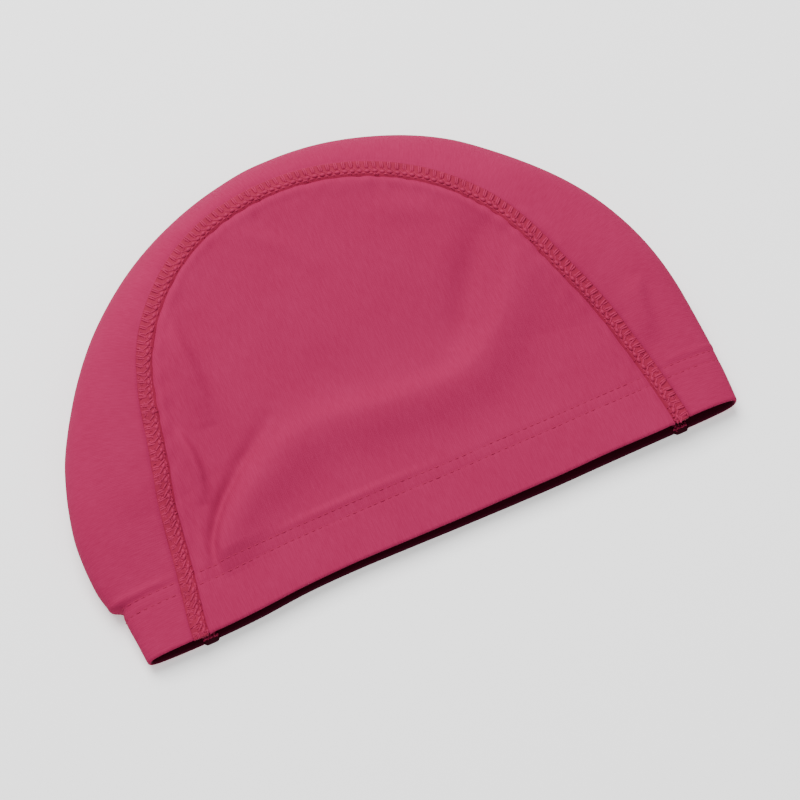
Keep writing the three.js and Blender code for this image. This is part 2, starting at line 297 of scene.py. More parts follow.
# Section of the bed under a seam's stitching, as places across it and heights
UPPER_BED = [
    (-3.3, -1.0), (3.3, -1.0), (3.3, -0.75), (2.95, -0.6), (2.6, -0.25), (2.2, 0.0),
    (1.2, 0.08), (0.0, 0.1), (-1.4, 0.06), (-2.6, -0.02), (-3.1, -0.1), (-3.3, -0.3),
]
UNDER_BED = [
    (-3.3, -1.5), (3.3, -1.5), (3.3, -0.8), (2.7, -0.55), (1.2, -0.45), (-1.4, -0.45), (-3.3, -0.6),
]
# Height below which the upper bed takes the dark painted shade
BED_SOLE = -0.95
BED_STEP = 1.0
BED_NARROWING = 0.35
# How far the under bed, in dark painted shade, runs on past the seam's ends
UNDER_BED_TAIL = 0.6

# Steps of the grids
UPPER_COLUMNS, UPPER_ROWS = 230, 148
UNDER_COLUMNS, UNDER_ROWS = 120, 70
UPPER_HEM_STEP, UNDER_HEM_STEP = 0.5, 1.0
PANEL_COARSE_STEP, PANEL_FINE_FROM = 1.0, 13.0
BAND_SECTION = 52
BAND_ARC_ROWS = 320
BAND_COARSE_STEP, BAND_FINE_STEP = 1.2, 0.5
BAND_FINE_FROM, BAND_FINE_TO = 12.0, 27.0
RIM_STEPS = 8
SEAM_STATIONS = 1601
PANEL_EDGE_STATIONS = 260

# Sharpness of the change from the right side of the cloth to its wrong side, with its dark painted shade,
# over a rim
RIM_CHANGE = 4.0

# Least upward share of the normal by which a panel's wall is divided, to measure its
# thickness straight down
STEEPEST = 0.65

# The camera and lights, in the frame of the part. A bearing is measured from looking along
# +Y, and a height angle up from the floor, both in degrees. Distances are in metres.
VIEW_BEARING = -24.93
VIEW_HEIGHT = 66.0
VIEW_DISTANCE = 0.75
VIEW_TARGET = Vector((0.0063, -0.0238, 0.0))
FOCAL_PIXELS = 1954.3
PICTURE_PIXELS = 800
SENSOR = 36.0
CLIP_START = 0.01
LIGHTS = (
    # name, bearing, height angle, distance, size, power
    ("window", 186.0, 61.5, 1.5, 1.0, 39.0),
    ("fill", 10.0, 60.0, 1.8, 1.2, 5.0),
)
WORLD_LIGHT = 0.6
FLOOR_LIGHT = 0.4
FLOOR_HALF = 4.0


def read_table(rows, column, at):
    """A column's value between the rows: on each step, the cubic whose end slopes are those
    of the run between the neighbouring rows."""
    place, value = rows[:, 0], rows[:, column]
    slope = np.gradient(value) / np.gradient(place)
    at = np.clip(at, place[0], place[-1])
    k = np.clip(np.searchsorted(place, at, side="right") - 1, 0, len(place) - 2)
    step = place[k + 1] - place[k]
    s = (at - place[k]) / step
    ease = s * s * (3 - 2 * s)
    bend = step * s * (1 - s) * ((1 - s) * slope[k] - s * slope[k + 1])
    return value[k] * (1 - ease) + value[k + 1] * ease + bend


def swell(share):
    """Zero at both ends of a run and one in its middle."""
    return 4 * share * (1 - share)


def unit(vectors):
    """Vectors at length one."""
    return vectors / np.maximum(np.linalg.norm(vectors, axis=-1, keepdims=True), 1e-12)


def bell(distance, width):
    """One at no distance and fading on both sides: e to the minus square of distance over
    width."""
    return np.exp(-((distance / width) ** 2))


def ripple(x, y, height, size, seed):
    """Smooth, fixed unevenness between about -height and height: a sum of sines over the
    plane, whose waves run in different directions and are about `size` long."""
    draw = np.random.default_rng(seed)
    total = np.zeros(np.broadcast(x, y).shape)
    for _ in range(RIPPLE_WAVES):
        heading, phase = draw.uniform(0, 2 * np.pi, 2)
        length = size * draw.uniform(*RIPPLE_SIZES)
        total += np.sin((x * np.cos(heading) + y * np.sin(heading)) * 2 * np.pi / length + phase)
    return height * (total / (RIPPLE_WAVES / 2))


def outline(along):
    """Plan position, way inwards, climb up the side and puff at shares of the outline: two
    eased straight sides, and half an ellipse over the crown."""
    along = np.asarray(along, float)
    puff = PUFF * read_table(PUFFS, 1, along * OUTLINE_LENGTH / HEM_HEIGHT) + read_table(TRIM, 1, along)
    sign = np.where(along < 0.5, -1.0, 1.0)
    up = np.minimum(np.minimum(along, 1 - along) / SIDE_SHARE, 1)
    hem = sign * HEM_LENGTH / 2
    body = sign * BODY_HALF - BODY_SHIFT
    turn = np.pi * (1 - np.clip((along - SIDE_SHARE) / (1 - 2 * SIDE_SHARE), 0, 1))
    on_side = up < 1
    x = np.where(on_side, hem + (body - hem) * (1 - (1 - up) ** 2), BODY_HALF * np.cos(turn) - BODY_SHIFT)
    y = HEM_Y + SIDE_RUN * up + np.where(on_side, 0, ARC_RISE * np.sin(turn))
    inwards = unit(np.stack([-np.cos(turn) * ARC_RISE, -np.sin(turn) * BODY_HALF], -1))
    return x, y, inwards[..., 0], inwards[..., 1], SIDE_RUN * up, puff


def inset_at(along, side):
    """Run from the outline in to a seam's centre line."""
    return SEAM_INSET * read_table(SEAMS, side, along)


def rise_at(along):
    """Height of the upper seam."""
    return CROWN_HEIGHT * read_table(SEAMS, RISE, along)


def seam_point(along, side, aside):
    """Points beside a seam's centre line, positive towards the side panel."""
    x, y, in_x, in_y, _, _ = outline(along)
    inset = inset_at(along, side) + aside
    height = rise_at(along) if side == UPPER else np.zeros_like(x)
    return np.stack([x + in_x * inset, y + in_y * inset, height], -1)


def wall_at(climb):
    """Cloth thickness: doubled over the turned-in hem."""
    share = np.clip((climb - HEM_HEIGHT) / HEM_END, 0, 1)
    return HEM_WALL + (WALL - HEM_WALL) * share


def curve_points(points, steps):
    """Catmull-Rom curve through the points: on each span, the cubic whose end slopes are
    half the chord between the neighbouring points."""
    p = np.array(points, float)
    p = np.concatenate([2 * p[:1] - p[1:2], p, 2 * p[-1:] - p[-2:-1]])
    s = np.linspace(0, 1, steps, endpoint=False)[None, :, None]
    a, b, c, d = (p[k : len(p) - 3 + k, None] for k in range(4))
    spans = 0.5 * (2 * b + (c - a) * s + (2 * a - 5 * b + 4 * c - d) * s**2 + (3 * b - a - 3 * c + d) * s**3)
    return np.concatenate([spans.reshape(-1, p.shape[1]), p[-2:-1]])


def nearest_on_line(x, y, line):
    """Distance from plan points to a line of segments, the side of it from -1 on its right
    to 1 on its left, and the share of the way along it. All are means over the segments,
    weighted by the inverse sixth power of the distance to each, so that none jumps."""
    total = np.full(x.shape, 1e-12)
    distance = np.zeros(x.shape)
    side = np.zeros(x.shape)
    share = np.zeros(x.shape)
    for k in range(len(line) - 1):
        run = line[k + 1] - line[k]
        from_x, from_y = x - line[k, 0], y - line[k, 1]
        t = np.clip((from_x * run[0] + from_y * run[1]) / (run @ run), 0, 1)
        away = np.hypot(from_x - t * run[0], from_y - t * run[1])
        weight = 1 / (away**2 + 0.01) ** 3
        total += weight
        distance += weight * away
        side += weight * np.sign(run[0] * from_y - run[1] * from_x)
        share += weight * (k + t) / (len(line) - 1)
    return distance / total, side / total, share / total


def settle(points):
    """Moves points near the hem towards or away from the crown, by the hem's waves, which
    die out smoothly above it."""
    x, y = points[..., 0], points[..., 1]
    fade = np.clip((y - HEM_Y) / WAVE_REACH, 0, 1)
    fade = 1 - fade * fade * (3 - 2 * fade)
    upper = np.clip((points[..., 2] - LYING_HEIGHT) / WAVE_BLEND, 0, 1)
    wave = upper * read_table(HEM_WAVES, 1, x) + (1 - upper) * read_table(HEM_WAVES, 2, x)
    moved = points.copy()
    moved[..., 1] += fade * wave
    return moved


def fold_height(x, y, folds):
    """Sum of the folds: each has a bell-shaped section with its own width on either side,
    and swells and fades along its line as a power of a sine."""
    total = np.zeros(x.shape)
    for points, height, right, left in folds:
        line = curve_points([(px, py + HEM_Y) for px, py in points], FOLD_STEPS)
        away, side, share = nearest_on_line(x, y, line)
        width = (right + left + (left - right) * side) / 2
        total += height * np.sin(np.pi * np.clip(share, 0, 1)) ** FOLD_SWELL * bell(away, width)
    return total


def panel_hem(side, climb, share):
    """The hem of a side panel: straight from seam to seam at each climb, with a slight dip
    at the middle of the upper one."""
    along = SIDE_SHARE * climb / SIDE_RUN
    back = seam_point(along, side, SEAM_REACH)
    front = seam_point(1 - along, side, SEAM_REACH)
    share = np.asarray(share)[..., None]
    point = back * (1 - share) + front * share
    if side == UPPER:
        point[..., 2] -= HEM_DIP * (1 - climb / SIDE_RUN) * swell(share[..., 0])
    return point


def panel_patch(side, u, v):
    """Coons patch of a side panel above its hem: the hem's upper line blended with the
    seam's flanks and top, less the bilinear blend of the four corners."""
    top_climb = HEM_HEIGHT + HEM_END
    start = SIDE_SHARE * top_climb / SIDE_RUN
    flank = start + (CORNER - start) * v
    across = CORNER + (1 - 2 * CORNER) * u
    a, b = u[..., None], v[..., None]
    point = (1 - b) * panel_hem(side, top_climb, u) + b * seam_point(across, side, SEAM_REACH)
    point += (1 - a) * seam_point(flank, side, SEAM_REACH) + a * seam_point(1 - flank, side, SEAM_REACH)
    corners = [
        panel_hem(side, top_climb, np.zeros(1)),
        panel_hem(side, top_climb, np.ones(1)),
        seam_point(np.array([CORNER]), side, SEAM_REACH),
        seam_point(np.array([1 - CORNER]), side, SEAM_REACH),
    ]
    weights = [(1 - a) * (1 - b), a * (1 - b), (1 - a) * b, a * b]
    for corner, weight in zip(corners, weights):
        point -= weight * corner
    return point


def band_point(along, tilt):
    """The band's section at each share of the outline. With q = 1 - cos(tilt), half of the
    height h and reach d from outline to seam, it is inset by h q + (d - h) q squared, less
    the puff, and rises by h sin(tilt) from the equator."""
    along, tilt = np.broadcast_arrays(np.asarray(along, float), np.asarray(tilt, float))
    x, y, in_x, in_y, _, puff = outline(along)
    rise = rise_at(along)
    equator = EQUATOR * rise
    half = np.where(tilt < 0, equator, rise - equator)
    to_seam = np.where(tilt < 0, inset_at(along, UNDER), inset_at(along, UPPER))
    reach = to_seam - SEAM_REACH + puff
    q = 1 - np.cos(tilt)
    inset = half * q + (reach - half) * q * q - puff
    return np.stack([x + in_x * inset, y + in_y * inset, equator + half * np.sin(tilt)], -1)


def make_object(name, points, faces, finish, layers=None):
    """Object from points in millimetres and a list of faces, with smooth shading. Each of
    the layers becomes a UV map where it has two values a point, and else an attribute."""
    mesh = bpy.data.meshes.new(name)
    places = settle(np.asarray(points, float).reshape(-1, 3))
    mesh.from_pydata((places * MM).tolist(), [], faces)
    corners = np.zeros(len(mesh.loops), np.int32)
    mesh.loops.foreach_get("vertex_index", corners)
    for layer, values in (layers or {}).items():
        values = np.asarray(values, np.float32)
        if values.ndim == 2:
            uv = mesh.uv_layers.new(name=layer)
            uv.data.foreach_set("uv", values[corners].ravel())
        else:
            mesh.attributes.new(layer, "FLOAT", "POINT").data.foreach_set("value", values)
    mesh.polygons.foreach_set("use_smooth", np.ones(len(mesh.polygons), bool))
    mesh.materials.append(finish)
    mesh.update()
    piece = bpy.data.objects.new(name, mesh)
    bpy.context.scene.collection.objects.link(piece)
    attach(piece, "root")
    return piece


def ring_faces(rows, columns):
    """Quads of a grid whose last row joins its first."""
    i, j = np.meshgrid(np.arange(rows), np.arange(columns - 1), indexing="ij")
    a = i * columns + j
    b = ((i + 1) % rows) * columns + j
    return np.stack([a, a + 1, b + 1, b], -1).reshape(-1, 4)


def rim(outer, inner, outwards, steps):
    """Half round from the inner to the outer edge row, bulging along `outwards`."""
    middle = (outer + inner) / 2
    reach = (outer - inner) / 2
    radius = np.linalg.norm(reach, axis=-1, keepdims=True)
    turn = np.pi * np.arange(1, steps) / steps
    rows = [middle - reach * np.cos(t) + outwards * radius * np.sin(t) for t in turn]
    return np.array(rows).reshape(-1, *outer.shape)


def cloth_shell(name, outer, inner, cloth_map, finish, both_ends=False, painted_shade_rim=False):
    """Closed shell of one piece of cloth: its outer grid, a half-round fold at the hem, its
    inner grid and, on the band, a second hem. The `inside` attribute is 0 on the right side
    of the cloth and 1 on the wrong side, which takes a dark painted shade, and changes over
    the fold at the hem, unless the whole fold is to take the painted shade."""
    rows, columns = outer.shape[:2]
    outwards = np.array([0.0, -1.0, 0.0])
    first = rim(outer[0], inner[0], outwards, RIM_STEPS)
    turned = np.arange(1, RIM_STEPS)[:, None] / RIM_STEPS * np.ones(columns)
    fade = np.ones_like(turned) if painted_shade_rim else np.clip((turned - 0.5) * RIM_CHANGE + 0.5, 0, 1)
    parts = [outer]
    maps = [cloth_map]
    insides = [np.zeros((rows, columns))]
    if both_ends:
        last = rim(outer[-1], inner[-1], outwards, RIM_STEPS)
        parts.append(last[::-1])
        maps.append(np.repeat(cloth_map[-1:], RIM_STEPS - 1, 0))
        insides.append(fade)
    parts += [inner[::-1], first]
    maps += [cloth_map[::-1], np.repeat(cloth_map[:1], RIM_STEPS - 1, 0)]
    insides += [np.ones((rows, columns)), fade[::-1]]
    points = np.concatenate(parts)
    total = len(points)
    row = np.arange(rows - 1)
    twin = 2 * rows - 1 + (RIM_STEPS - 1 if both_ends else 0)
    side_rows = list(np.stack([row, row + 1, twin - row - 1, twin - row], -1))
    if both_ends:
        side_rows.append(np.arange(rows - 1, rows + RIM_STEPS))
    side_rows.append(np.arange(total - RIM_STEPS, total + 1) % total)
    side_faces = [(face * columns)[::-1].tolist() for face in side_rows]
    side_faces += [(face * columns + columns - 1).tolist() for face in side_rows]
    layers = {
        "cloth": np.concatenate(maps).reshape(-1, 2),
        "inside": np.concatenate(insides).ravel(),
    }
    return make_object(name, points, ring_faces(total, columns).tolist() + side_faces, finish, layers)


def grid_normals(points):
    """Unit normals of a grid, from its central differences along rows and columns."""
    down = np.gradient(points, axis=0)
    right = np.gradient(points, axis=1)
    return unit(np.cross(right, down))


def stitch_lines(points, climbs, rows):
    """Lines of a grid at the two stitch rows, with the grid's normals there."""
    normals = grid_normals(points)
    found = [int(np.argmin(np.abs(climbs - row))) for row in rows]
    return [(points[k], normals[k]) for k in found]


def hem_groove(climb):
    """Slight furrow along each row of stitches: two narrow bells."""
    return sum(-GROOVE_DEPTH * bell(climb - row, GROOVE_WIDTH) for row in STITCH_ROWS)


def panel_surface(side, columns, rows, hem_step):
    """Outer face of a side panel as a grid, and the climb of each row, which counts as
    SIDE_RUN all over the patch above the hem."""
    coarse = np.arange(0, PANEL_FINE_FROM, PANEL_COARSE_STEP)
    fine = np.arange(PANEL_FINE_FROM, HEM_HEIGHT + hem_step / 2, hem_step)
    climbs = np.concatenate([coarse, fine])
    u = np.linspace(0, 1, columns + 1)
    v = np.linspace(0, 1, rows + 1)
    hem = np.array([panel_hem(side, climb, u) for climb in climbs])
    patch = panel_patch(side, *np.meshgrid(u, v))
    points = np.concatenate([hem, patch])
    climb = np.concatenate([climbs, np.full(rows + 1, SIDE_RUN)])
    return points, climb


def upper_panel(finish):
    """The panel that faces up: the patch sinks in a bowl, and folds, soft ripples, a furrow
    at each stitch row and a tuck beside the seam are added to its height."""
    points, climb = panel_surface(UPPER, UPPER_COLUMNS, UPPER_ROWS, UPPER_HEM_STEP)
    rows, columns = points.shape[:2]
    x, y = points[..., 0], points[..., 1]
    line = seam_point(np.linspace(0, 1, PANEL_EDGE_STATIONS), UPPER, SEAM_REACH)[:, :2]
    from_seam = nearest_on_line(x, y, line)[0]
    u = np.linspace(0, 1, columns)[None, :]
    v = np.concatenate([np.zeros(rows - UPPER_ROWS - 1), np.linspace(0, 1, UPPER_ROWS + 1)])[:, None]
    room = 1 - bell(from_seam, PANEL_HOLD)
    above = np.clip((y - HEM_Y - PANEL_START) / PANEL_START_RUN, 0, 1)
    folds = fold_height(x, y, PANEL_FOLDS)
    height = room * (folds * above + ripple(x, y, *PANEL_SLACK) + ripple(x, y, *PANEL_GRAIN))
    height -= BOWL * swell(u) * swell(v)
    height += hem_groove(y - HEM_Y)
    pucker = ripple(x, y, *PANEL_PUCKER) * bell(from_seam, PANEL_PUCKER_REACH)
    tuck = LIP_HEIGHT * bell(from_seam - LIP_PLACE, LIP_WIDTH) - TUCK_DEPTH * bell(from_seam, TUCK_WIDTH)
    points[..., 2] += height + tuck + pucker * above
    normals = grid_normals(points)
    wall = wall_at(climb)[:, None]
    inner = points.copy()
    inner[..., 2] -= wall / np.clip(np.abs(normals[..., 2]), STEEPEST, 1)
    piece = cloth_shell("cloth_panel_upper", points, inner, points[..., :2], finish)
    return piece, stitch_lines(points, climb, STITCH_ROWS)


def under_panel(finish):
    """The panel that the cap lies on: flat, with its stitch rows on the inside."""
    points, climb = panel_surface(UNDER, UNDER_COLUMNS, UNDER_ROWS, UNDER_HEM_STEP)
    inner = points.copy()
    inner[..., 2] += wall_at(climb)[:, None]
    # Its hem rim takes the dark painted shade too
    piece = cloth_shell("cloth_panel_under", points, inner, points[..., :2], finish, painted_shade_rim=True)
    return piece, stitch_lines(inner, climb, STITCH_ROWS)


def band_stations():
    """Shares of the outline for the band's rows, closer together at the stitched hems and
    at the puff above the back one."""
    climbs = np.concatenate([
        np.arange(0, BAND_FINE_FROM, BAND_COARSE_STEP),
        np.arange(BAND_FINE_FROM, BAND_FINE_TO, BAND_FINE_STEP),
        np.arange(BAND_FINE_TO, SIDE_RUN, BAND_COARSE_STEP),
    ])
    side = SIDE_SHARE * climbs / SIDE_RUN
    arc = np.linspace(SIDE_SHARE, 1 - SIDE_SHARE, BAND_ARC_ROWS)
    return np.concatenate([side, arc, 1 - side[::-1]])


def band_relief(points, grid_along, grid_tilt, run):
    """How far the band is pushed out along its normal: the sum of soft ripples, puckers
    beside the seams, furrows at the stitch rows, folds, a roll above each hem and a tuck
    at each seam. None of it is left where the band lies on the surface."""
    distance = grid_along * OUTLINE_LENGTH
    climb = np.minimum(grid_along, 1 - grid_along) * OUTLINE_LENGTH
    edge = np.minimum(run, run[:, -1:] - run)
    held = 1 - bell(edge, BAND_HOLD)
    above = np.clip((climb - BAND_START) / BAND_START_RUN, 0, 1)
    push = ripple(distance, run, *BAND_SLACK) * held * above
    pucker = ripple(distance, run * BAND_PUCKER_STRETCH, *BAND_PUCKER)
    push += pucker * bell(edge, BAND_PUCKER_REACH) * above
    push += hem_groove(np.minimum(climb, SIDE_RUN))
    push += fold_height(points[..., 0], points[..., 1], BAND_FOLDS) * held * (grid_tilt > 0)
    roll = np.where(grid_along < 0.5, BACK_ROLL, FRONT_ROLL)
    push += roll * bell(climb - ROLL_CLIMB, ROLL_WIDTH) * held
    push -= BAND_TUCK_DEPTH * bell(edge, BAND_TUCK_WIDTH)
    return push * np.clip((points[..., 2] - LYING_HEIGHT) / BAND_LYING_RUN, 0, 1)


def centre_band(finish):
    """The band: its section carried along the outline and pushed out by its relief."""
    along = band_stations()
    tilts = np.linspace(-np.pi / 2, np.pi / 2, BAND_SECTION + 1)
    grid_along, grid_tilt = np.meshgrid(along, tilts, indexing="ij")
    points = band_point(grid_along, grid_tilt)
    nudge = 0.01
    across = band_point(grid_along, grid_tilt + nudge) - band_point(grid_along, grid_tilt - nudge)
    normals = unit(np.cross(across, np.gradient(points, axis=0)))
    run = np.cumsum(np.linalg.norm(np.gradient(points, axis=1), axis=-1), axis=1)
    cloth_map = np.stack([grid_along * OUTLINE_LENGTH, run], -1)
    climb = np.minimum(grid_along, 1 - grid_along) * OUTLINE_LENGTH
    points = points + normals * band_relief(points, grid_along, grid_tilt, run)[..., None]
    inner = points - normals * wall_at(climb)[..., None]
    piece = cloth_shell("cloth_centre_band", points, inner, cloth_map, finish, both_ends=True)
    climbs = along * SIDE_RUN / SIDE_SHARE
    lines = []
    for places in (climbs, climbs[-1] - climbs):
        for row in STITCH_ROWS:
            k = int(np.argmin(np.abs(places - row)))
            clear = points[k, :, 2] > LYING_HEIGHT
            lines.append((points[k][clear], normals[k][clear]))
    return piece, lines


def tubes(paths, radii, ups, sides):
    """Many threads at once: a ring of `sides` points round each path point, in the plane
    across the path, with a point closing each end. Returns points and faces."""
    paths = np.asarray(paths, float)
    count, steps = paths.shape[:2]
    ahead = unit(np.gradient(paths, axis=1))
    left = unit(np.cross(np.broadcast_to(ups, paths.shape), ahead))
    up = np.cross(ahead, left)
    turn = 2 * np.pi * np.arange(sides) / sides
    radii = np.broadcast_to(radii, (count, steps))[..., None, None]
    ring = left[:, :, None] * np.cos(turn)[:, None] + up[:, :, None] * np.sin(turn)[:, None]
    rings = paths[:, :, None] + radii * ring
    size = steps * sides + 2
    points = np.concatenate([rings.reshape(count, -1, 3), paths[:, :1], paths[:, -1:]], 1)
    i, j = np.meshgrid(np.arange(steps - 1), np.arange(sides), indexing="ij")
    a, b = i * sides + j, i * sides + (j + 1) % sides
    quads = np.stack([a, b, b + sides, a + sides], -1).reshape(-1, 4)
    j = np.arange(sides)
    start = np.stack([np.full(sides, steps * sides), (j + 1) % sides, j], -1)
    far = (steps - 1) * sides
    end = np.stack([np.full(sides, steps * sides + 1), far + j, far + (j + 1) % sides], -1)
    base = (np.arange(count) * size)[:, None, None]
    faces = (quads + base).reshape(-1, 4).tolist()
    faces += (np.concatenate([start, end]) + base).reshape(-1, 3).tolist()
    return points.reshape(-1, 3), faces


def thread_object(name, bundles, finish):
    """One object from several bundles of threads."""
    points, faces, start = [], [], 0
    for bundle_points, bundle_faces in bundles:
        faces += [[k + start for k in face] for face in bundle_faces]
        points.append(bundle_points)
        start += len(bundle_points)
    return make_object(name, np.concatenate(points), faces, finish)


class SeamLine:
    """A seam's centre line by distance, from the back hem's edge, with its way across and
    its way up. Beyond the hem edges it runs straight on."""

    def __init__(self, side):
        along = np.linspace(0, 1, SEAM_STATIONS)
        self.centre = seam_point(along, side, 0.0)
        self.across = unit(seam_point(along, side, 1.0) - self.centre)
        self.up = np.array([0.0, 0.0, 1.0 if side == UPPER else -1.0])
        steps = np.linalg.norm(np.diff(self.centre, axis=0), axis=1)
        self.distance = np.concatenate([[0], np.cumsum(steps)])
        self.length = self.distance[-1]

    def place(self, distance, aside, height):
        """Points at a distance along, aside from the centre line and above the cloth."""
        distance, aside, height = np.broadcast_arrays(distance, aside, height)
        inside = np.clip(distance, 0, self.length)
        centre = np.stack([np.interp(inside, self.distance, self.centre[:, k]) for k in range(3)], -1)
        across = np.stack([np.interp(inside, self.distance, self.across[:, k]) for k in range(3)], -1)
        beyond = np.abs(distance - inside)
        centre[..., 1] -= beyond
        return centre + across * aside[..., None] + self.up * height[..., None]


def ladder_threads(seam, lift, seed):
    """Flatlock stitching over a seam: for each pitch two fat strands side by side across the
    band's half of it, a bead beside the panel with a thinner one behind it, and a low strand
    that slants between them. Each rises along its run as a power of a sine. Near both hems
    it is worn, with specks of loose yarn: flat at the back one, rougher at the front one."""
    draw = np.random.default_rng(seed)
    count = int((seam.length + 2 * SEAM_TAIL) / LADDER_PITCH)
    start = (seam.length - (count - 1) * LADDER_PITCH) / 2
    middle = (start + LADDER_PITCH * np.arange(count))[:, None]
    back = bell(middle, BACK_RUN)
    front = FRONT_WEAR * bell(middle - seam.length, FRONT_RUN)
    worn = back + front
    loose = EVEN_LOOSE + WORN_LOOSE * worn
    flat = 1 - BACK_FLAT * back - FRONT_FLAT * front
    rough = EVEN_ROUGH + WORN_ROUGH * front
    middle = middle + draw.normal(0, STRAND_STRAY, middle.shape) * loose
    t = np.linspace(0, 1, 9)[None, :]
    arch = np.sin(np.pi * t)
    bundles = []
    for shift in (-BAR_SHIFT, BAR_SHIFT):
        lean = draw.normal(BAR_LEAN, BAR_LEAN_SPREAD + BAR_LEAN_WORN * front) * loose
        tall = draw.normal(BAR_RISE, rough) * flat
        reach = draw.normal(BAR_REACH, 2.5 * rough)
        along = middle + shift * (0.8 + 0.2 * arch) + lean * (t - 0.5)
        height = lift - BAR_ROOT - BACK_SINK * back - FRONT_SINK * front
        height = height + (tall + BAR_LEAST_RISE) * arch**0.4
        paths = seam.place(along, BAR_START + reach * t, height)
        bundles.append(tubes(paths, BAR_RADIUS + BAR_SWELL * arch**0.5, seam.up, 6))
    slant = draw.normal(0.2, 0.2, middle.shape) * loose
    along = middle + BEAD_SHIFT + (t - 0.5) * BEAD_LENGTH
    aside = BEAD_ASIDE + slant * (t - 0.5) + draw.normal(0, BEAD_STRAY, middle.shape) * loose
    height = lift - BEAD_ROOT + draw.normal(BEAD_RISE, rough) * flat * arch**0.6
    bundles.append(tubes(seam.place(along, aside, height), BEAD_RADIUS + BEAD_SWELL * arch**0.7, seam.up, 7))
    along = middle + LADDER_PITCH / 2 + (t - 0.5) * LOW_BEAD_LENGTH
    aside = LOW_BEAD_ASIDE + draw.normal(0, BEAD_STRAY, middle.shape) * loose
    paths = seam.place(along, aside, lift - LOW_BEAD_ROOT + LOW_BEAD_RISE * arch)
    bundles.append(tubes(paths, LOW_BEAD_RADIUS + LOW_BEAD_SWELL * arch, seam.up, 5))
    along = middle + SLANT_GAP / 2 + (LADDER_PITCH - SLANT_GAP) * t
    aside = SLANT_START + draw.normal(SLANT_REACH, 0.2, middle.shape) * t
    paths = seam.place(along, aside, lift - SLANT_ROOT + SLANT_RISE * arch)
    bundles.append(tubes(paths, SLANT_RADIUS + SLANT_WORN * worn, seam.up, 5))
    for speck in SPECKS:
        bundles.append(yarn_specks(seam, lift, draw, middle, worn, *speck))
    return bundles


def yarn_specks(seam, lift, draw, middle, worn, each, thick, low, high):
    """Short bits of yarn that lie over the stitching in any direction, as many as it is
    worn there. Each sinks at both ends as a parabola and thins out there."""
    many = np.repeat(middle[:, 0], each)
    spot = draw.permutation(many)[:, None] + draw.normal(0, 0.8, (len(many), 1))
    wear = np.interp(spot, middle[:, 0], worn[:, 0])
    spot = spot[draw.uniform(0, 1.2, spot.shape) < 0.1 + wear][:, None]
    turn = draw.uniform(0, 2 * np.pi, spot.shape)
    t = np.linspace(-0.5, 0.5, 5)[None, :]
    long = draw.uniform(*SPECK_LENGTHS, spot.shape)
    aside = draw.uniform(*SPECK_REACH, spot.shape) + long * t * np.sin(turn)
    height = lift + draw.uniform(low, high, spot.shape) - 1.2 * t * t
    along = spot + long * t * np.cos(turn)
    return tubes(seam.place(along, aside, height), thick * (1.1 - 1.6 * t * t), seam.up, 5)


def frayed_ends(seam, lift, longest, seed):
    """Short cut strands that stick out of both ends of a seam. Each drifts aside and sags
    as the square of the share of its length, and thins out to half."""
    draw = np.random.default_rng(seed)
    shape = (END_STRANDS, 1)
    t = np.linspace(0, 1, 7)[None, :]
    bundles = []
    for hem, way in ((0.0, -1.0), (seam.length, 1.0)):
        aside = draw.uniform(-END_SPREAD, END_SPREAD, shape)
        reach = draw.uniform(0.4 * longest, longest, shape)
        drift = draw.normal(0, 0.5, shape)
        sag = draw.uniform(0.1, 0.8, shape)
        along = hem + way * (reach * t - END_ROOT)
        height = lift + draw.uniform(-0.8, 0.3, shape) - sag * t * t
        paths = seam.place(along, aside + drift * t * t, height)
        bundles.append(tubes(paths, END_RADIUS * (1 - 0.5 * t * t), seam.up, 6))
    return bundles


def seam_bed(name, seam, side, finish):
    """The bed under a seam's threads: a closed strip whose section is a low crown with a
    deep groove beside the panel, carried along the seam and narrowed past its ends by the
    square of the way out."""
    upper = side == UPPER
    tail = SEAM_TAIL if upper else SEAM_TAIL + UNDER_BED_TAIL
    tails = tail * np.array([0, 0.6, 1])
    stations = np.arange(0, seam.length, BED_STEP)
    distance = np.concatenate([-tails[:0:-1], stations, seam.length + tails])
    past = np.maximum(-distance, distance - seam.length) / tail
    narrow = 1 - BED_NARROWING * np.clip(past, 0, 1)[:, None] ** 2
    aside, height = np.array(UPPER_BED if upper else UNDER_BED).T
    points = seam.place(distance[:, None], aside[None, :] * narrow, height[None, :])
    rows, columns = points.shape[:2]
    i, j = np.meshgrid(np.arange(rows - 1), np.arange(columns), indexing="ij")
    a, b = i * columns + j, i * columns + (j + 1) % columns
    faces = np.stack([a, b, b + columns, a + columns], -1).reshape(-1, 4).tolist()
    faces.append(list(range(columns))[::-1])
    faces.append([(rows - 1) * columns + k for k in range(columns)])
    if upper:
        faces = [face[::-1] for face in faces]
    # Painted shade: the whole under bed, and the upper bed below BED_SOLE, take the dark inside colour
    deep = (height < BED_SOLE) if upper else np.ones(columns)
    layers = {"inside": np.broadcast_to(deep, (rows, columns)).ravel()}
    return make_object(name, points, faces, finish, layers)


